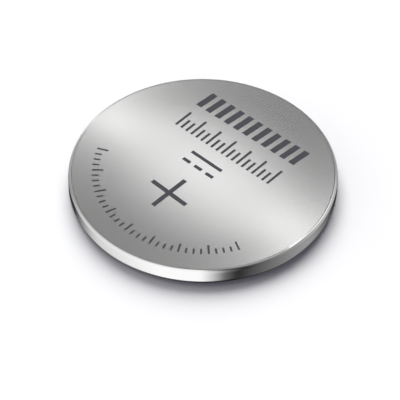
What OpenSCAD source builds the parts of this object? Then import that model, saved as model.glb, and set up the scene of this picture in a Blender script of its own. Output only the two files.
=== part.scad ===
// Lithium coin cell, 20 mm across and 1.6 mm thick, in millimetres.
// The cell lies on its negative contact: z = 0 is the outer face of the cap,
// and z = cell_h is the flat positive face of the can.
// Most pieces are turned about Z, so each of those modules draws half of its
// section, with the radius along x and the height along y.

/* [Cell] */
// Outer diameter of the cell
cell_d = 20; // [16:0.5:30]
// Height from the negative contact to the positive face
cell_h = 1.6; // [1.4:0.05:3.2]

/* [Positive can] */
// Thickness of the can's steel
can_t = 0.2; // [0.15:0.01:0.22]
// Outside radius of the bend round the positive face
can_bend_r = 0.25; // [0.24:0.01:0.4]
// Outside radius of the crimp, where the wall is rolled in over the seal
crimp_r = 0.5; // [0.4:0.02:0.56]
// How far the negative contact stands proud of the crimped lip
contact_proud = 0.12; // [0.1:0.01:0.16]
// Radius broken on the outer edge of the lip's cut end
lip_edge_r = 0.06; // [0.02:0.01:0.1]

/* [Negative cap] */
// Thickness of the cap's steel
cap_t = 0.2; // [0.15:0.01:0.22]
// Height of the cap's shoulder over its contact face
shoulder_z = 0.6; // [0.56:0.01:0.64]
// Width of the shoulder that the seal is pressed on
shoulder_w = 0.6; // [0.56:0.02:0.8]
// Outside radius of the bend round the contact face
contact_bend_r = 0.3; // [0.24:0.01:0.34]
// Outside radius of the bend from the shoulder to the skirt
skirt_bend_r = 0.3; // [0.24:0.01:0.34]
// Radius of the hollow between the neck and the shoulder
hollow_r = 0.1; // [0.04:0.01:0.14]

/* [Sealing gasket] */
// Thickness of the outer wall, between the can and the cap's skirt
seal_wall_t = 0.35; // [0.25:0.01:0.5]
// Thickness of the floor, under the cap's rim
seal_floor_t = 0.25; // [0.15:0.01:0.3]
// Thickness of the inner wall
seal_inner_t = 0.28; // [0.2:0.01:0.35]
// Room between the end of the inner wall and the cap's shoulder
seal_inner_room = 0.2; // [0.1:0.01:0.3]
// Width of the ring that shows between the cap and the lip
seal_ring_w = 0.3; // [0.2:0.01:0.36]
// How far that ring lies below the lip's face
seal_ring_depth = 0.07; // [0:0.01:0.12]
// Radius on the ring's outer edge
seal_edge_r = 0.05; // [0.02:0.01:0.1]
// Clearance of the gasket from the steel of the can and the cap
seal_gap = 0.01; // [0.005:0.005:0.02]

/* [Inside the cell] */
// Thickness of the lithium disc
anode_t = 0.25; // [0.1:0.01:0.35]
// Room between the lithium disc and the cap's neck
anode_room = 0.8; // [0.2:0.05:1.5]
// Thickness of the separator
separator_t = 0.15; // [0.05:0.01:0.2]
// Room between the separator and the cap's neck
separator_room = 0.12; // [0.05:0.01:0.3]
// Room between the cathode pellet and the gasket's inner wall
cathode_room = 0.75; // [0.1:0.05:1.5]

/* [Collector grid] */
// Thickness of the expanded sheet
grid_t = 0.05; // [0.03:0.01:0.1]
// Room between the grid's edge and the pellet's edge
grid_room = 0.3; // [0:0.05:1]
// Least width of solid sheet round the grid
grid_rim_w = 0.4; // [0.2:0.05:1]
// Long way of each diamond mesh, from strand to strand
mesh_long = 2.4; // [2:0.1:4]
// Short way of each diamond mesh
mesh_short = 1.4; // [1.1:0.1:2]
// Width of the strands between the meshes
strand_w = 0.25; // [0.15:0.05:0.4]

/* [Hidden] */
$fn = 160;
lap = 0.05;                                   // overlap of shapes that are joined or cut

can_r = cell_d / 2;                           // outside of the can's wall
bore_r = can_r - can_t;                       // inside of the can's wall
floor_z = cell_h - can_t;                     // inside of the can's floor
lip_z = contact_proud;                        // outer face of the crimped lip
skirt_r = bore_r - seal_wall_t;               // outside of the cap's skirt
neck_r = skirt_r - shoulder_w;                // outside of the cap's neck
rim_z = floor_z - seal_floor_t;               // cut end of the cap's skirt
lip_r = neck_r + seal_ring_w;                 // opening in the crimped lip
seal_ring_z = lip_z + seal_ring_depth;        // end of the gasket that shows
seal_inner_r = skirt_r - cap_t - seal_gap - seal_inner_t;
seal_inner_z = shoulder_z + cap_t + seal_inner_room;

anode_r = neck_r - cap_t - anode_room;
separator_r = neck_r - cap_t - separator_room;
cathode_r = seal_inner_r - cathode_room;
grid_r = cathode_r - grid_room;

anode_z = cap_t;
separator_z = anode_z + anode_t;
cathode_z = separator_z + separator_t;
grid_z = floor_z - grid_t;

// What rounding takes off a corner that points out and up, or out and down
// with way = -1: a square less the circle about (x, z)
module rounding(x, z, r, way) {
    difference() {
        translate([x, way > 0 ? z : z - 2 * r]) square(2 * r);
        translate([x, z]) circle(r);
    }
}

// Section of a solid turned block of radius r, its outer corners rounded
module block(r, z_low, z_high, low_r = 0, high_r = 0) {
    difference() {
        translate([0, z_low]) square([r, z_high - z_low]);
        if (low_r > 0) rounding(r - low_r, z_low + low_r, low_r, -1);
        if (high_r > 0) rounding(r - high_r, z_high - high_r, high_r, 1);
    }
}

// The can's filled outline: its outside at inset 0, its inside at inset can_t
module can_outline(inset) {
    block(can_r - inset, lip_z + inset, cell_h - inset, crimp_r - inset, can_bend_r - inset);
}

// The cap's filled outline, contact, neck, shoulder and skirt: its outside at
// inset 0, its inside at inset cap_t, and a clearance round it at a negative inset
module cap_outline(inset) {
    r = hollow_r + inset;
    side = neck_r - inset;
    top = shoulder_z + inset;
    block(side, inset, top + lap, contact_bend_r - inset);
    block(skirt_r - inset, top, rim_z, skirt_bend_r - inset);
    difference() {
        translate([side - lap, top - r]) square([r + lap, r + lap]);
        translate([side + r, top - r]) circle(r);
    }
}

module positive_can() {
    color("silver")
    rotate_extrude()
        difference() {
            can_outline(0);
            can_outline(can_t);
            // the opening in the lip, with the cut end's outer edge broken
            square([lip_r, lip_z + can_t + lap]);
            difference() {
                translate([lip_r - lap, lip_z - lap]) square(lip_edge_r + lap);
                translate([lip_r + lip_edge_r, lip_z + lip_edge_r]) circle(lip_edge_r);
            }
        }
}

module sealing_gasket() {
    color("dimgray")
    rotate_extrude() {
        difference() {
            // what the can leaves free, and the ring that shows in its opening
            union() {
                can_outline(can_t + seal_gap);
                block(lip_r - seal_gap, seal_ring_z, shoulder_z, seal_edge_r);
            }
            cap_outline(-seal_gap);
            translate([0, rim_z - lap]) square([seal_inner_r, seal_floor_t + 2 * lap]);
        }
        translate([seal_inner_r, seal_inner_z])
            square([seal_inner_t, floor_z - seal_gap - seal_inner_z]);
    }
}

module negative_cap() {
    color("gainsboro")
    rotate_extrude()
        difference() {
            cap_outline(0);
            cap_outline(cap_t);
            translate([0, rim_z - lap]) square([skirt_r - cap_t, 2 * lap]);
        }
}

module lithium_anode() {
    color("slategray")
    translate([0, 0, anode_z]) cylinder(h = anode_t, r = anode_r);
}

module separator() {
    color("white")
    translate([0, 0, separator_z]) cylinder(h = separator_t, r = separator_r);
}

module cathode_pellet() {
    color("darkslategray")
    translate([0, 0, cathode_z]) cylinder(h = grid_z - cathode_z, r = cathode_r);
}

// One diamond opening: the full mesh, drawn in by half a strand on every side
module mesh_hole() {
    a = mesh_long / 2;
    b = mesh_short / 2;
    half_way = a * b / norm([a, b]);          // from the middle to a strand's centre line
    k = (half_way - strand_w / 2) / half_way;
    polygon([[a * k, 0], [0, b * k], [-a * k, 0], [0, -b * k]]);
}

// The meshes stand in rows half a mesh apart, every other row moved half a
// mesh along, and only those that lie whole inside the rim are cut
module cathode_collector() {
    rows = ceil(2 * grid_r / mesh_short);
    cols = ceil(grid_r / mesh_long);
    color("darkgray")
    translate([0, 0, grid_z])
        linear_extrude(grid_t)
            difference() {
                circle(grid_r);
                for (row = [-rows:rows], col = [-cols:cols]) {
                    x = (col + (row % 2 == 0 ? 0 : 0.5)) * mesh_long;
                    y = row * mesh_short / 2;
                    if (norm([abs(x) + mesh_long / 2, y]) < grid_r - grid_rim_w
                        && norm([x, abs(y) + mesh_short / 2]) < grid_r - grid_rim_w)
                        translate([x, y]) mesh_hole();
                }
            }
}

positive_can();
sealing_gasket();
negative_cap();
lithium_anode();
separator();
cathode_pellet();
cathode_collector();
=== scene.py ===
import bpy
import math
import numpy as np
from mathutils import Matrix, Vector


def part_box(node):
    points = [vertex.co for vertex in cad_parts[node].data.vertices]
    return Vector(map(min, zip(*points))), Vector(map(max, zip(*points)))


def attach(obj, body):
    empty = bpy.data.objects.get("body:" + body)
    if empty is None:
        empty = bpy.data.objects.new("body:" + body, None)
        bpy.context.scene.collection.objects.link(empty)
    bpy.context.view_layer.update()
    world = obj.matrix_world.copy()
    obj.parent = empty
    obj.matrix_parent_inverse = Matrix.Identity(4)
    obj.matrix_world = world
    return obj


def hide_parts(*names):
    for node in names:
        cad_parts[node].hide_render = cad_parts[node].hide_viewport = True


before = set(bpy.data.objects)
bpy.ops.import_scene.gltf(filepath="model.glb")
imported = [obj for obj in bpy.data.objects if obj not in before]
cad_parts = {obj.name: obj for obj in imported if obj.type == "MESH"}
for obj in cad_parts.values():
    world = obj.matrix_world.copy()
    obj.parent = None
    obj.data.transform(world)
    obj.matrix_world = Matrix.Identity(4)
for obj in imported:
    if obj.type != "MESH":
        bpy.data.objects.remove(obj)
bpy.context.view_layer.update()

mm = 0.001                      # the frame is in metres, the sizes below in millimetres


# The corners of a solid's box, in millimetres
def corners(node):
    low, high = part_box(node)
    return np.array(low) / mm, np.array(high) / mm


canLow, canHigh = corners("positive_can")
sealLow, sealHigh = corners("sealing_gasket")
capHigh = corners("negative_cap")[1]
topHeight = canHigh[2]          # the flat positive face


# Helpers for objects and nodes

def addObject(name, data):
    obj = bpy.data.objects.new(name, data)
    bpy.context.scene.collection.objects.link(obj)
    return obj


# Turn a camera or a panel, by what is to its right, over it and behind it
def turnTo(obj, right, up, back):
    obj.rotation_mode = "QUATERNION"
    obj.rotation_quaternion = Matrix((right, up, back)).transposed().to_quaternion()


# A node with its settings, where each input is a number, a colour or another node's output
def addNode(tree, kind, inputs=(), **settings):
    node = tree.nodes.new(kind)
    for name, value in settings.items():
        setattr(node, name, value)
    for name, source in dict(inputs).items():
        socket = node.inputs[name]
        if isinstance(source, bpy.types.NodeSocket):
            tree.links.new(source, socket)
        else:
            socket.default_value = source
    return node


def calc(tree, operation, *values):
    node = addNode(tree, "ShaderNodeMath", enumerate(values), operation=operation)
    return node.outputs[0]


# The start value below low, the end value above high, and a smooth step between them
def smooth(tree, value, low, high, start=0.0, end=1.0):
    node = addNode(tree, "ShaderNodeMapRange", {
        "Value": value, "From Min": low, "From Max": high, "To Min": start, "To Max": end,
    }, interpolation_type="SMOOTHSTEP")
    return node.outputs["Result"]


# 0 at one value, 1 at another, and an even step between them
def fade(tree, value, zero, one):
    node = addNode(tree, "ShaderNodeMapRange", {"Value": value, "From Min": zero, "From Max": one})
    return node.outputs["Result"]


# The first value where the share is 0, the second where it is 1
def blend(tree, share, first, second):
    node = addNode(tree, "ShaderNodeMix", {"Factor": share, "A": first, "B": second}, data_type="FLOAT")
    return node.outputs["Result"]


# A colour without tint, as a socket takes it
def grey(value):
    return (value, value, value, 1)


# Camera: a long lens that looks down at the cell, with a slight roll

camera = {
    "elevation": 46.4,          # degrees over the floor
    "distance": 300.0,
    "pictureSide": 400,         # pixels, for the two values that follow
    "pixelsPerMm": 13.46,       # at the cell's middle
    "middlePixel": (203.0, 179.9),
    "roll": 0.5,                # degrees
    "sensor": 36.0,
    "nearest": 10.0,            # what is nearer or farther isn't drawn
    "farthest": 5000.0,
}


def placeCamera(c):
    data = bpy.data.cameras.new("camera")
    obj = addObject("camera", data)
    data.sensor_width = c["sensor"]
    data.lens = c["sensor"] * c["pixelsPerMm"] * c["distance"] / c["pictureSide"]
    data.clip_start, data.clip_end = c["nearest"] * mm, c["farthest"] * mm
    tilt, roll = math.radians(c["elevation"]), math.radians(c["roll"])
    back = Vector((0, -math.cos(tilt), math.sin(tilt)))
    right, up = Vector((1, 0, 0)), Vector((0, math.sin(tilt), math.cos(tilt)))
    across = right * math.cos(roll) + up * math.sin(roll)
    upright = up * math.cos(roll) - right * math.sin(roll)
    # the cell's middle lies a few pixels off the picture's, so the aim is moved by as much
    half = c["pictureSide"] / 2
    shiftX = (half - c["middlePixel"][0]) / c["pixelsPerMm"]
    shiftY = (c["middlePixel"][1] - half) / c["pixelsPerMm"]
    aim = Vector((0, 0, topHeight / 2)) + across * shiftX + upright * shiftY
    obj.location = (aim + back * c["distance"]) * mm
    turnTo(obj, across, upright, back)
    bpy.context.scene.camera = obj


placeCamera(camera)
print("camera placed")


# Studio: a white floor and backdrop, soft lamps, and what the bright metal mirrors

studio = {
    "floorSize": 3000.0,
    "floorWhite": 0.99,
    # soft lamps: each one's bearing, its height and its spread in degrees, and how much of the
    # floor's light it gives
    "lamps": [(92, 46, 54, 0.66), (135, 70, 50, 0.18), (180, 20, 50, 0.06)],
    "fill": (0.12, 0.12, 0.145),        # soft light from all round
    # the strip light hangs where the flat face mirrors it into the camera, all in millimetres
    "panelDistance": 2000.0,
    "stripSize": (3600.0, 90.0),
    "stripAside": -12.0,
    "stripTurn": 141.9,                 # bearing on the face that the strip lights up
    "stripBright": 1.47,
    # a square panel to the right: its bearing, the sine of its height, its side and brightness
    "sidePanel": (38, 0.74, 1080.0, 0.65),
    # pale soft cards round the table: the bearings at which each one starts to fade in, is full,
    # starts to fade out and has ended, in degrees against the clock from the right-hand side,
    # and its brightness
    "cards": [
        (128, 168, 269, 289, 0.85),     # to the left
        (170, 235, 269, 299, 0.46),     # over that one, toward the camera
        (-57, 5, 18, 60, 0.37),         # to the right
    ],
    # the same for cards behind the cell, above what its wall mirrors from the photo's side
    "highCards": [
        (-57, 70, 130, 145, 0.46),      # all along the back
        (90, 110, 110, 130, 0.3),       # brighter in the middle
    ],
    "darkBearing": -60,                 # where the cards leave a gap, to the right of the camera
    "darkBright": 0.04,                 # how bright that gap and the others are
    "highFrom": (-0.62, -0.4),          # sines between which the high cards fade in
    "tableDark": (-0.96, -0.86),        # sines between which the space under the cell goes dark
    "tableLight": 0.05,                 # the share of the cards that is left there
    "cardsEnd": (0.93, 0.995),          # cosines from faceMirror between which the cards end
    "roomBright": 0.002,                # round the strip light, where the cards have ended
}


# The direction at a bearing in degrees and with a rise, the sine of its height over the table
def pointing(bearing, rise):
    turn = math.radians(bearing)
    level = math.sqrt(1 - rise * rise)
    return Vector((level * math.cos(turn), level * math.sin(turn), rise))


# The direction that the camera sees mirrored in the flat face
def faceMirror():
    tilt = math.radians(camera["elevation"])
    return Vector((0, math.cos(tilt), math.sin(tilt)))


def buildFloor(s):
    half = s["floorSize"] / 2 * mm
    square = [(-half, -half, 0), (half, -half, 0), (half, half, 0), (-half, half, 0)]
    mesh = bpy.data.meshes.new("floor")
    mesh.from_pydata(square, [], [(0, 1, 2, 3)])
    floor = addObject("floor", mesh)
    material = bpy.data.materials.new("whiteFloor")
    material.use_nodes = True
    tree = material.node_tree
    tree.nodes.clear()
    surface = addNode(tree, "ShaderNodeBsdfDiffuse", {"Color": grey(s["floorWhite"])})
    addNode(tree, "ShaderNodeOutputMaterial", {"Surface": surface.outputs[0]})
    mesh.materials.append(material)
    floor.visible_glossy = False


# A panel that only shiny surfaces see: no matt surface takes light from it. Its power is its
# brightness times pi times its area.
def buildPanel(place, along, size, bright):
    data = bpy.data.lights.new("panel", "AREA")
    lamp = addObject("panel", data)
    data.shape = "RECTANGLE"
    data.size, data.size_y = size[0] * mm, size[1] * mm
    data.energy = bright * math.pi * data.size * data.size_y
    toward = place.normalized()
    lamp.location = place * mm
    turnTo(lamp, along, toward.cross(along), toward)
    lamp.visible_camera = False
    lamp.visible_diffuse = False


def buildPanels(s):
    mirror = faceMirror()
    # the strip lies square to the mirrored direction, and seen from above it follows its bearing
    along = pointing(s["stripTurn"], 0)
    along.z = -along.dot(mirror) / mirror.z
    along.normalize()
    place = mirror * s["panelDistance"] + mirror.cross(along) * s["stripAside"]
    buildPanel(place, (along - along.project(place)).normalized(), s["stripSize"], s["stripBright"])
    bearing, rise, side, bright = s["sidePanel"]
    place = pointing(bearing, rise) * s["panelDistance"]
    buildPanel(place, pointing(bearing + 90, 0), (side, side), bright)


# A lamp so far off that only its direction counts. Shiny surfaces don't mirror it.
def buildLamp(bearing, height, spread, onFloor):
    data = bpy.data.lights.new("softLamp", "SUN")
    lamp = addObject("softLamp", data)
    toward = pointing(bearing, math.sin(math.radians(height)))
    data.angle = math.radians(spread)
    data.energy = onFloor * math.pi / toward.z
    lamp.rotation_mode = "QUATERNION"
    lamp.rotation_quaternion = toward.to_track_quat("Z", "Y")
    lamp.visible_glossy = False


# How bright the soft cards are at a bearing, on top of what is there without them
def cardRing(tree, bearing, cards, bright):
    for first, full, fading, last, cardBright in cards:
        fadeIn = fade(tree, bearing, first, full)
        fadeOut = fade(tree, bearing, last, fading)
        shown = calc(tree, "MINIMUM", fadeIn, fadeOut)
        bright = calc(tree, "MULTIPLY_ADD", shown, cardBright, bright)
    return bright


# What a reflected ray sees, by its direction
def studioReflection(tree, s):
    direction = addNode(tree, "ShaderNodeTexCoord").outputs["Generated"]
    axes = addNode(tree, "ShaderNodeSeparateXYZ", {0: direction}).outputs
    angle = calc(tree, "ARCTAN2", axes["Y"], axes["X"])
    turn = calc(tree, "DEGREES", angle)
    bearing = calc(tree, "WRAP", turn, s["darkBearing"] + 360, s["darkBearing"])
    low = cardRing(tree, bearing, s["cards"], s["darkBright"])
    high = cardRing(tree, bearing, s["highCards"], low)
    ring = blend(tree, smooth(tree, axes["Z"], *s["highFrom"]), low, high)
    lit = smooth(tree, axes["Z"], *s["tableDark"], s["tableLight"], 1.0)
    ring = calc(tree, "MULTIPLY", ring, lit)
    overhead = addNode(tree, "ShaderNodeVectorMath", {0: direction, 1: faceMirror()},
                       operation="DOT_PRODUCT").outputs["Value"]
    return blend(tree, smooth(tree, overhead, *s["cardsEnd"]), ring, s["roomBright"])


def buildWorld(s):
    world = bpy.data.worlds.new("studio")
    bpy.context.scene.world = world
    world.use_nodes = True
    tree = world.node_tree
    tree.nodes.clear()
    path = addNode(tree, "ShaderNodeLightPath").outputs
    backdrop = addNode(tree, "ShaderNodeBackground", {"Color": grey(1.0), "Strength": 1.0})
    fill = addNode(tree, "ShaderNodeBackground", {"Color": (*s["fill"], 1)})
    mirrored = addNode(tree, "ShaderNodeBackground", {"Color": studioReflection(tree, s)})
    seen = calc(tree, "MAXIMUM", path["Is Camera Ray"], path["Is Transmission Ray"])
    # the steel mirrors the cards for the camera, but throws no second light on the floor
    onFloor = calc(tree, "MINIMUM", path["Diffuse Depth"], 1.0)
    shine = calc(tree, "MAXIMUM", calc(tree, "SUBTRACT", path["Is Glossy Ray"], onFloor), 0.0)
    soft = addNode(tree, "ShaderNodeMixShader", {0: shine, 1: fill.outputs[0], 2: mirrored.outputs[0]})
    full = addNode(tree, "ShaderNodeMixShader", {0: seen, 1: soft.outputs[0], 2: backdrop.outputs[0]})
    addNode(tree, "ShaderNodeOutputWorld", {"Surface": full.outputs[0]})


buildFloor(studio)
buildPanels(studio)
for lamp in studio["lamps"]:
    buildLamp(*lamp)
buildWorld(studio)
bpy.context.scene.view_settings.view_transform = "Standard"
print("studio built")


# Turned shells: a profile of radius and height, carried round the cell's axis

shell = {
    "facets": 384,              # round the axis
    "rings": (0.02, 0.1, 0.3, 0.5, 0.7, 0.9),       # across a flat face, as shares of its radius
    "crisp": 0.012,             # from the end of a straight stretch to the point beside it
    "same": 1e-6,               # points nearer than this are one
}


# Points along a bend: the circle about a centre, from one angle to another in degrees
def bend(centreR, centreZ, radius, start, end, steps=12):
    angle = np.radians(np.linspace(start, end, steps + 1))
    return np.stack([centreR + radius * np.cos(angle), centreZ + radius * np.sin(angle)], 1)


# Points along a straight stretch, with one close to each end to keep the shading crisp there
def straight(start, end, between=()):
    start, end = np.array(start, float), np.array(end, float)
    near = shell["crisp"] / np.linalg.norm(end - start)
    share = np.array([0, near, *between, 1 - near, 1])
    return start + share[:, None] * (end - start)


# One line through all the stretches, without the points that follow each other at one place
def joined(*stretches):
    line = np.vstack(stretches)
    step = np.linalg.norm(np.diff(line, axis=0), axis=1)
    return line[np.concatenate([[True], step > shell["same"]])]


# The mesh: each point of the profile swept through equal angles about the axis. A profile that
# starts and ends at radius 0 has a pole at both ends, and a ring's profile is closed instead. It
# runs outwards over the top and back inwards underneath. The function pick gets the middles of
# the profile's stretches and says which of the materials each of them has.
def turnedShell(name, profile, materials, pick, ring=False):
    facets = shell["facets"]
    angle = np.arange(facets) * 2 * np.pi / facets
    r, z = profile[:, :1], profile[:, 1:]
    grid = np.stack([r * np.cos(angle), r * np.sin(angle), z + 0 * angle], -1) * mm
    body = grid if ring else grid[1:-1]
    verts = body.reshape(-1, 3)
    count = len(body)
    here = np.arange(facets)
    beyond = (here + 1) % facets
    first = np.arange(count if ring else count - 1)[:, None] * facets
    second = (first + facets) % (count * facets)
    quads = np.stack([first + here, second + here, second + beyond, first + beyond], -1)
    faces = quads.reshape(-1, 4).tolist()
    bands = np.repeat(np.arange(len(first)), facets)
    if not ring:
        top, bottom = len(verts), len(verts) + 1
        last = (count - 1) * facets
        verts = np.vstack([verts, grid[0, 0], grid[-1, 0]])
        faces += np.stack([0 * here + top, here, beyond], -1).tolist()
        faces += np.stack([last + here, 0 * here + bottom, last + beyond], -1).tolist()
        bands = np.concatenate([bands + 1, 0 * here, 0 * here + len(profile) - 2])
    mesh = bpy.data.meshes.new(name)
    mesh.from_pydata(verts.tolist(), [], faces)
    for material in materials:
        mesh.materials.append(material)
    middle = (profile + np.roll(profile, -1, 0)) / 2
    mesh.polygons.foreach_set("material_index", pick(middle)[bands].astype(np.int32))
    mesh.polygons.foreach_set("use_smooth", np.ones(len(faces), bool))
    mesh.update()
    return addObject(name, mesh)


# Finishes

# A new material, with its nodes and its shader
def newFinish(name):
    material = bpy.data.materials.new(name)
    material.use_nodes = True
    tree = material.node_tree
    return material, tree, tree.nodes["Principled BSDF"]


# A grain in the piece's own space: a noise from 0 to 1
def grainNoise(tree, perMm, detail):
    place = addNode(tree, "ShaderNodeTexCoord").outputs["Object"]
    noise = addNode(tree, "ShaderNodeTexNoise", {"Vector": place, "Scale": perMm / mm, "Detail": detail})
    return noise.outputs["Fac"]


# The colour times the first share where the noise is 0, and times the second where it is 1
def unevenColour(tree, shader, noise, colour, shares):
    low, high = [(*[part * share for part in colour], 1) for share in shares]
    tint = addNode(tree, "ShaderNodeMix", {"Factor": noise, "A": low, "B": high}, data_type="RGBA")
    tree.links.new(tint.outputs["Result"], shader.inputs["Base Color"])


# A value that the noise carries to both sides by up to the spread
def uneven(tree, noise, value, spread):
    return calc(tree, "MULTIPLY_ADD", noise, 2 * spread, value - spread)


# A little relief that follows the noise, its depth in millimetres
def addRelief(tree, shader, noise, strength, depth=0.01):
    bump = addNode(tree, "ShaderNodeBump", {"Height": noise, "Strength": strength, "Distance": depth * mm})
    tree.links.new(bump.outputs[0], shader.inputs["Normal"])


# Where a place lies on a turned piece, with the bearing as a direction of length 1
def turnedPlace(tree):
    place = addNode(tree, "ShaderNodeTexCoord").outputs["Object"]
    axes = addNode(tree, "ShaderNodeSeparateXYZ", {0: place}).outputs
    flat = addNode(tree, "ShaderNodeCombineXYZ", {0: axes["X"], 1: axes["Y"]}).outputs[0]
    radius = addNode(tree, "ShaderNodeVectorMath", {0: flat}, operation="LENGTH")
    bearing = addNode(tree, "ShaderNodeVectorMath", {0: flat}, operation="NORMALIZE")
    return {"radius": radius.outputs["Value"], "height": axes["Z"], "bearing": bearing.outputs[0]}


# Turned streaks: a noise from 0 to 1 that changes slowly with the bearing, and fast with a
# distance, which is the radius on a face and the height on a wall
def streakNoise(tree, f, bearing, distance):
    slow = addNode(tree, "ShaderNodeVectorMath", {0: bearing, "Scale": f["streaksPerRadian"]},
                   operation="SCALE")
    split = addNode(tree, "ShaderNodeSeparateXYZ", {0: slow.outputs[0]}).outputs
    fast = calc(tree, "MULTIPLY", distance, f["streaksPerMm"] / mm)
    streak = addNode(tree, "ShaderNodeCombineXYZ", {0: split["X"], 1: split["Y"], 2: fast})
    noise = addNode(tree, "ShaderNodeTexNoise", {
        "Vector": streak.outputs[0], "Scale": 1.0, "Detail": 3.0, "Roughness": 0.6})
    return noise.outputs["Fac"]


# The turning stretches each highlight across its streaks, a quarter turn from the tangent
def turnSheen(tree, shader):
    tangent = addNode(tree, "ShaderNodeTangent", direction_type="RADIAL", axis="Z")
    tree.links.new(tangent.outputs[0], shader.inputs["Tangent"])
    shader.inputs["Anisotropic Rotation"].default_value = 0.25


faceFinish = {
    "colour": (0.70, 0.70, 0.695),
    "tint": (0.98, 1.02),       # shares of the colour, from streak to streak
    "roughMiddle": 0.106,       # at the centre of the face
    "roughEdge": 0.146,         # from its reach outwards
    "roughSpread": 0.01,        # to both sides, from streak to streak
    "reach": 8.7,
    "brush": 0.9,               # how strongly the turning stretches the highlight at the edge
    "streaksPerMm": 9.0,
    "streaksPerRadian": 1.5,    # the more of them, the shorter they are
    "streakDepth": 0.01,
}


# A turned flat: smoother and less brushed towards the middle, where the streaks run out
def brushedFace(f, name):
    material, tree, shader = newFinish(name)
    place = turnedPlace(tree)
    noise = streakNoise(tree, f, place["bearing"], place["radius"])
    share = smooth(tree, place["radius"], 0.0, f["reach"] * mm)
    rough = calc(tree, "MULTIPLY_ADD", share, f["roughEdge"] - f["roughMiddle"], f["roughMiddle"])
    rough = calc(tree, "ADD", rough, uneven(tree, noise, 0.0, f["roughSpread"]))
    tree.links.new(rough, shader.inputs["Roughness"])
    tree.links.new(calc(tree, "MULTIPLY", share, f["brush"]), shader.inputs["Anisotropic"])
    turnSheen(tree, shader)
    unevenColour(tree, shader, noise, f["colour"], f["tint"])
    shader.inputs["Metallic"].default_value = 1.0
    addRelief(tree, shader, noise, f["streakDepth"])
    return material


wallFinish = {
    "colour": (0.72, 0.72, 0.72),
    "tint": (0.95, 1.05),
    "rough": 0.13,
    "roughSpread": 0.06,
    "brush": 0.5,
    "streaksPerMm": 14.0,
    "streaksPerRadian": 3.0,
    "streakDepth": 0.08,
}


# Bright rolled sheet, with its streaks round the cell
def rolledWall(f, name):
    material, tree, shader = newFinish(name)
    place = turnedPlace(tree)
    noise = streakNoise(tree, f, place["bearing"], place["height"])
    tree.links.new(uneven(tree, noise, f["rough"], f["roughSpread"]), shader.inputs["Roughness"])
    shader.inputs["Anisotropic"].default_value = f["brush"]
    turnSheen(tree, shader)
    unevenColour(tree, shader, noise, f["colour"], f["tint"])
    shader.inputs["Metallic"].default_value = 1.0
    addRelief(tree, shader, noise, f["streakDepth"])
    return material


faceSteel = brushedFace(faceFinish, "brushedFace")
wallSteel = rolledWall(wallFinish, "rolledWall")


# Positive can: face, edge bend, wall, crimp and lip outside, and the same sheet inside

can = {
    "sheet": 0.2,
    "edgeBend": 0.25,           # outside radius round the face
    "crimp": 0.5,               # outside radius of the rolled-in crimp
    "lipOpening": 9.15,         # radius of the opening in the lip
    "lipBreak": 0.06,           # radius on the outer edge of the lip's cut end
    "faceFinishEnds": 0.25,     # how far down the edge bend, as a share of its radius
}


# From the middle of the face out to its bend, down the wall and round the crimp to the opening,
# then back inside, one sheet's thickness in
def canProfile(c):
    r, top, lip, t = canHigh[0], topHeight, canLow[2], c["sheet"]
    edgeR, edgeZ = r - c["edgeBend"], top - c["edgeBend"]
    crimpR, crimpZ = r - c["crimp"], lip + c["crimp"]
    openR, soft = c["lipOpening"], c["lipBreak"]
    return joined(
        straight((0, top), (edgeR, top), between=shell["rings"]),
        bend(edgeR, edgeZ, c["edgeBend"], 90, 0),
        straight((r, edgeZ), (r, crimpZ), between=(0.5,)),
        bend(crimpR, crimpZ, c["crimp"], 0, -90, steps=16),
        straight((crimpR, lip), (openR + soft, lip)),
        bend(openR + soft, lip + soft, soft, 270, 180, steps=6),
        straight((openR, lip + soft), (openR, lip + t)),
        straight((openR, lip + t), (crimpR, lip + t)),
        bend(crimpR, crimpZ, c["crimp"] - t, -90, 0, steps=10),
        straight((r - t, crimpZ), (r - t, edgeZ)),
        bend(edgeR, edgeZ, c["edgeBend"] - t, 0, 90, steps=5),
        straight((edgeR, top - t), (0, top - t)),
    )


# The flat and the start of the bend round it have the face's finish, the rest has the wall's
def isWall(middle):
    return (middle[:, 1] < topHeight - can["edgeBend"] * can["faceFinishEnds"]).astype(int)


canShell = turnedShell("canShell", canProfile(can), [faceSteel, wallSteel], isWall)
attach(canShell, "root")
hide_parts("positive_can")
print("can turned")


# Negative cap: contact, neck, shoulder and skirt, pressed from one sheet

cap = {
    "sheet": 0.2,
    "neck": 8.85,               # outside radius of the neck
    "shoulder": 0.6,            # height of the shoulder over the contact face
    "contactBend": 0.3,         # outside radius round the contact face
    "skirtBend": 0.3,           # outside radius from the shoulder to the skirt
    "hollow": 0.1,              # radius in the hollow between the neck and the shoulder
}

# turned as the positive face is, and duller
contactFinish = {
    **faceFinish,
    "colour": (0.66, 0.66, 0.655),
    "roughMiddle": 0.3,
    "roughEdge": 0.36,
    "reach": 8.0,
    "brush": 0.6,
    "streaksPerMm": 7.0,
    "streakDepth": 0.06,
}


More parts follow.
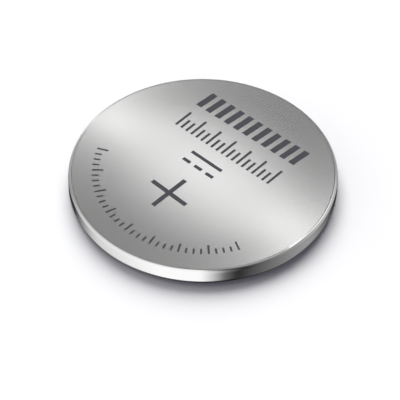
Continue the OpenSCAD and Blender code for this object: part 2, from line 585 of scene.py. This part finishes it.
# The sheet's underside from the axis out to the rim, then its upper side back in, turned round
# at the end because turnedShell starts on top
def capProfile(c):
    t, skirt, rim = c["sheet"], capHigh[0], capHigh[2]
    neck, shoulder, hollow = c["neck"], c["shoulder"], c["hollow"]
    bendR, bendZ = neck - c["contactBend"], c["contactBend"]
    skirtR, skirtZ = skirt - c["skirtBend"], shoulder + c["skirtBend"]
    hollowR, hollowZ = neck + hollow, shoulder - hollow
    line = joined(
        straight((0, 0), (bendR, 0), between=shell["rings"]),
        bend(bendR, bendZ, c["contactBend"], -90, 0),
        straight((neck, bendZ), (neck, hollowZ)),
        bend(hollowR, hollowZ, hollow, 180, 90, steps=6),
        straight((hollowR, shoulder), (skirtR, shoulder)),
        bend(skirtR, skirtZ, c["skirtBend"], -90, 0),
        straight((skirt, skirtZ), (skirt, rim)),
        straight((skirt, rim), (skirt - t, rim)),
        straight((skirt - t, rim), (skirt - t, skirtZ)),
        bend(skirtR, skirtZ, c["skirtBend"] - t, 0, -90, steps=6),
        straight((skirtR, shoulder + t), (hollowR, shoulder + t)),
        bend(hollowR, hollowZ, hollow + t, 90, 180, steps=10),
        straight((neck - t, hollowZ), (neck - t, bendZ)),
        bend(bendR, bendZ, c["contactBend"] - t, 0, -90, steps=6),
        straight((bendR, t), (0, t)),
    )
    return line[::-1]


# The contact's flat and half of the bend round it have the contact's finish, the rest of the
# sheet has the wall's
def isBent(middle):
    halfBend = cap["neck"] - cap["contactBend"] * (1 - math.sqrt(0.5))
    return ((middle[:, 0] > halfBend) | (middle[:, 1] > cap["sheet"] / 2)).astype(int)


capFlat = brushedFace(contactFinish, "brushedContact")
capShell = turnedShell("capShell", capProfile(cap), [capFlat, wallSteel], isBent)
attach(capShell, "root")
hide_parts("negative_cap")


# Sealing gasket: outer wall, floor, inner wall and the ring that shows beside the cap

seal = {
    "gap": 0.01,                # clearance to the steel
    "innerWall": 0.28,
    "innerEnd": 1.0,            # height of the inner wall's end
    "ringEdge": 0.05,           # radius on the outer edge of the ring that shows
}

gasketFinish = {
    "colour": (0.045, 0.045, 0.048),
    "tint": (0.8, 1.2),
    "rough": 0.55,
    "roughSpread": 0.1,
    "grainPerMm": 6.0,
    "relief": 0.2,
}


# From the cap's bend up its neck, along its shoulder, up its skirt and over the rim, round the
# inner wall, then along the can's floor, down its wall and round the crimp to the ring that shows
def sealProfile(g):
    gap, t = g["gap"], cap["sheet"]
    skirt, rim, neck = capHigh[0], capHigh[2], cap["neck"]
    outer, ringZ, top = sealHigh[0], sealLow[2], sealHigh[2]
    contactR = neck - cap["contactBend"]
    reach = cap["contactBend"] + gap
    # where the ring's flat meets the clearance round the cap's bend
    foot = math.degrees(math.asin((ringZ - cap["contactBend"]) / reach))
    hollowR, hollowZ = neck + cap["hollow"], cap["shoulder"] - cap["hollow"]
    skirtR, skirtZ = skirt - cap["skirtBend"], cap["shoulder"] + cap["skirtBend"]
    innerSide = skirt - t - gap
    innerFace = innerSide - g["innerWall"]
    cornerR, cornerZ = canHigh[0] - can["edgeBend"], topHeight - can["edgeBend"]
    corner = can["edgeBend"] - can["sheet"] - gap
    crimpR, crimpZ = canHigh[0] - can["crimp"], canLow[2] + can["crimp"]
    crimp = can["crimp"] - can["sheet"] - gap
    ring, edge = can["lipOpening"] - gap, g["ringEdge"]
    return joined(
        bend(contactR, cap["contactBend"], reach, foot, 0, steps=6),
        straight((neck + gap, cap["contactBend"]), (neck + gap, hollowZ)),
        bend(hollowR, hollowZ, cap["hollow"] - gap, 180, 90, steps=6),
        straight((hollowR, cap["shoulder"] - gap), (skirtR, cap["shoulder"] - gap)),
        bend(skirtR, skirtZ, cap["skirtBend"] + gap, -90, 0, steps=8),
        straight((skirt + gap, skirtZ), (skirt + gap, rim)),
        straight((skirt + gap, rim), (innerSide, rim)),
        straight((innerSide, rim), (innerSide, g["innerEnd"])),
        straight((innerSide, g["innerEnd"]), (innerFace, g["innerEnd"])),
        straight((innerFace, g["innerEnd"]), (innerFace, top)),
        straight((innerFace, top), (cornerR, top)),
        bend(cornerR, cornerZ, corner, 90, 0, steps=5),
        straight((outer, cornerZ), (outer, crimpZ)),
        bend(crimpR, crimpZ, crimp, 0, -90, steps=8),
        straight((crimpR, crimpZ - crimp), (ring, crimpZ - crimp)),
        straight((ring, crimpZ - crimp), (ring, ringZ + edge)),
        bend(ring - edge, ringZ + edge, edge, 0, -90, steps=5),
    )


# Moulded plastic: a dull grain in its colour, its roughness and a little relief
def mouldedPlastic(f, name):
    material, tree, shader = newFinish(name)
    grain = grainNoise(tree, f["grainPerMm"], 2.0)
    unevenColour(tree, shader, grain, f["colour"], f["tint"])
    tree.links.new(uneven(tree, grain, f["rough"], f["roughSpread"]), shader.inputs["Roughness"])
    addRelief(tree, shader, grain, f["relief"])
    return material


# The ring is of one material all over
def isPlastic(middle):
    return np.zeros(len(middle), int)


sealPlastic = mouldedPlastic(gasketFinish, "sealPlastic")
sealRing = turnedShell("sealRing", sealProfile(seal), [sealPlastic], isPlastic, ring=True)
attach(sealRing, "root")
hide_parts("sealing_gasket")
print("cap and gasket turned")


# Printed signs on the positive face: the plus sign, and plain bars and ticks elsewhere

printing = {
    "thick": 0.006,
    "sunk": 0.002,              # how far the ink's underside lies in the steel
    "colour": (0.062, 0.06, 0.07),
    "tint": (0.9, 1.15),
    "rough": 0.575,
    "roughSpread": 0.075,
    "specular": 0.25,
    "grainPerMm": 4.0,
}


# Directions along and up from a line that is turned by some degrees, as two unit vectors
def lineAxes(degrees):
    turn = math.radians(degrees)
    return np.array([math.cos(turn), math.sin(turn)]), np.array([-math.sin(turn), math.cos(turn)])


# Bars as outlines of four corners, from their middles, how far each is turned, and their whole
# lengths and widths, where one number may stand for all the bars
def bars(middles, degrees, lengths, widths):
    count = len(middles)
    turn = np.radians(np.broadcast_to(degrees, count))
    halfLong = np.broadcast_to(lengths, count)[:, None] / 2
    halfWide = np.broadcast_to(widths, count)[:, None] / 2
    along = np.stack([np.cos(turn), np.sin(turn)], 1) * halfLong
    across = np.stack([-np.sin(turn), np.cos(turn)], 1) * halfWide
    return np.stack([middles - along - across, middles + along - across,
                     middles + along + across, middles - along + across], 1)


# Flat plates of ink: each outline is carried from just under the face to just over it
def inkPlates(name, outlines, material):
    shapes, points = outlines.shape[:2]
    low = np.full((shapes, points, 1), topHeight - printing["sunk"])
    high = np.full((shapes, points, 1), topHeight + printing["thick"])
    verts = np.stack([np.concatenate([outlines, low], 2), np.concatenate([outlines, high], 2)], 1) * mm
    first = np.arange(shapes)[:, None] * 2 * points
    here = np.arange(points)[None]
    beyond = (here + 1) % points
    sides = np.stack([first + here, first + beyond, first + beyond + points, first + here + points], -1)
    faces = (first + here + points).tolist() + (first + here[:, ::-1]).tolist()
    faces += sides.reshape(-1, 4).tolist()
    mesh = bpy.data.meshes.new(name)
    mesh.from_pydata(verts.reshape(-1, 3).tolist(), [], faces)
    mesh.materials.append(material)
    obj = addObject(name, mesh)
    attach(obj, "root")


# Dull ink with a fine grain in its colour and its roughness
def screenInk(p):
    material, tree, shader = newFinish("screenInk")
    grain = grainNoise(tree, p["grainPerMm"], 3.0)
    unevenColour(tree, shader, grain, p["colour"], p["tint"])
    tree.links.new(uneven(tree, grain, p["rough"], p["roughSpread"]), shader.inputs["Roughness"])
    shader.inputs["Specular IOR Level"].default_value = p["specular"]
    return material


ink = screenInk(printing)

plusSign = {"middle": (-2.5, -2.12), "arms": (-44.5, 47.5), "length": 3.5, "width": 0.37}


# Two bars that cross, drawn as one outline of twelve corners
def plusOutline(p):
    one, other = [lineAxes(degrees)[0] for degrees in p["arms"]]
    long, half = p["length"] / 2, p["width"] / 2
    # the inner corner between two arms lies half a width from both middle lines
    corner = half / abs(one[0] * other[1] - one[1] * other[0])
    sides = []
    for arm, near in ((one, other), (other, -one), (-one, -other), (-other, one)):
        square = np.array([-arm[1], arm[0]]) * half
        sides += [arm * long - square, arm * long + square, (arm + near) * corner]
    return np.array([sides]) + np.array(p["middle"])


inkPlates("plusSign", plusOutline(plusSign), ink)

stripes = {"start": (-0.57, 7.13), "turn": -40.9, "count": 11, "width": 0.5, "length": 9.6,
           "height": 1.73, "slant": 6.0}


# Slanted stripes side by side: parallelograms that stand on one line
def stripeOutlines(s):
    along, up = lineAxes(s["turn"])
    left = np.linspace(0, s["length"] - s["width"], s["count"])[:, None] * along + np.array(s["start"])
    lean = up * s["height"] + along * s["height"] * math.tan(math.radians(s["slant"]))
    width = along * s["width"]
    return np.stack([left, left + width, left + width + lean, left + lean], 1)


inkPlates("slantedStripes", stripeOutlines(stripes), ink)

rule = {"middle": (1.9, 2.6), "turn": -41.8, "count": 19, "length": 9.3, "stroke": 0.2,
        "tall": 1.7, "short": 1.0, "every": 3}


# A rule of thin ticks that stand on one line, every third one tall
def ruleOutlines(r):
    along, up = lineAxes(r["turn"])
    index = np.arange(r["count"])
    tall = np.where(index % r["every"] == 0, r["tall"], r["short"])
    across = (index / (r["count"] - 1) - 0.5) * (r["length"] - r["stroke"])
    rise = (tall - r["tall"]) / 2
    middles = np.array(r["middle"]) + across[:, None] * along + rise[:, None] * up
    return bars(middles, r["turn"] + 90, tall, r["stroke"])


inkPlates("ruledTicks", ruleOutlines(rule), ink)

currentSign = {"middle": (-0.06, 0.81), "turn": -42.5, "length": 3.0, "stroke": 0.28,
               "apart": 0.95, "dashes": 3, "dash": 0.72}


# The plain sign for direct current: a full line over a broken one
def currentOutlines(c):
    along, up = lineAxes(c["turn"])
    across = (np.arange(c["dashes"]) / (c["dashes"] - 1) - 0.5) * (c["length"] - c["dash"])
    middle = np.array(c["middle"])
    dashes = middle - up * c["apart"] / 2 + across[:, None] * along
    middles = np.vstack([middle + up * c["apart"] / 2, dashes])
    lengths = np.array([c["length"]] + [c["dash"]] * c["dashes"])
    return bars(middles, c["turn"], lengths, c["stroke"])


inkPlates("currentSign", currentOutlines(currentSign), ink)

scale = {"foot": 8.25, "tall": 0.85, "short": 0.5, "every": 4, "from": 163.0, "to": 289.0,
         "count": 33, "stroke": 0.15}


# Ticks on an arc near the edge, pointing to the middle, every fourth one tall
def scaleOutlines(s):
    index = np.arange(s["count"])
    degrees = np.linspace(s["from"], s["to"], s["count"])
    tall = np.where(index % s["every"] == 0, s["tall"], s["short"])
    radius = s["foot"] - tall / 2
    turn = np.radians(degrees)
    middles = np.stack([radius * np.cos(turn), radius * np.sin(turn)], 1)
    return bars(middles, degrees, tall, s["stroke"])


inkPlates("edgeScale", scaleOutlines(scale), ink)
print("signs printed")


# Pieces sealed inside: they keep the solids' shapes and get their own finishes

inside = {
    "lithium_anode": {"colour": (0.5, 0.51, 0.53), "metallic": 1.0, "rough": 0.45,
                      "grainPerMm": 1.5, "relief": 0.2},
    "separator": {"colour": (0.8, 0.8, 0.77), "metallic": 0.0, "rough": 0.9,
                  "grainPerMm": 8.0, "relief": 0.6},
    "cathode_pellet": {"colour": (0.02, 0.02, 0.021), "metallic": 0.0, "rough": 0.8,
                       "grainPerMm": 10.0, "relief": 0.5},
    "cathode_collector": {"colour": (0.45, 0.45, 0.45), "metallic": 1.0, "rough": 0.4,
                          "grainPerMm": 5.0, "relief": 0.2},
}

insideGrain = {"detail": 4.0, "tint": (0.75, 1.2), "roughSpread": 0.1, "depth": 0.02}


# An even coat with a grain in its colour, its roughness and its relief
def insideFinish(node, f, g):
    material, tree, shader = newFinish(node + "Finish")
    grain = grainNoise(tree, f["grainPerMm"], g["detail"])
    unevenColour(tree, shader, grain, f["colour"], g["tint"])
    shader.inputs["Metallic"].default_value = f["metallic"]
    tree.links.new(uneven(tree, grain, f["rough"], g["roughSpread"]), shader.inputs["Roughness"])
    addRelief(tree, shader, grain, f["relief"], g["depth"])
    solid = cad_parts[node]
    solid.data.materials.clear()
    solid.data.materials.append(material)


for node, finish in inside.items():
    insideFinish(node, finish, insideGrain)
print("inner pieces finished")
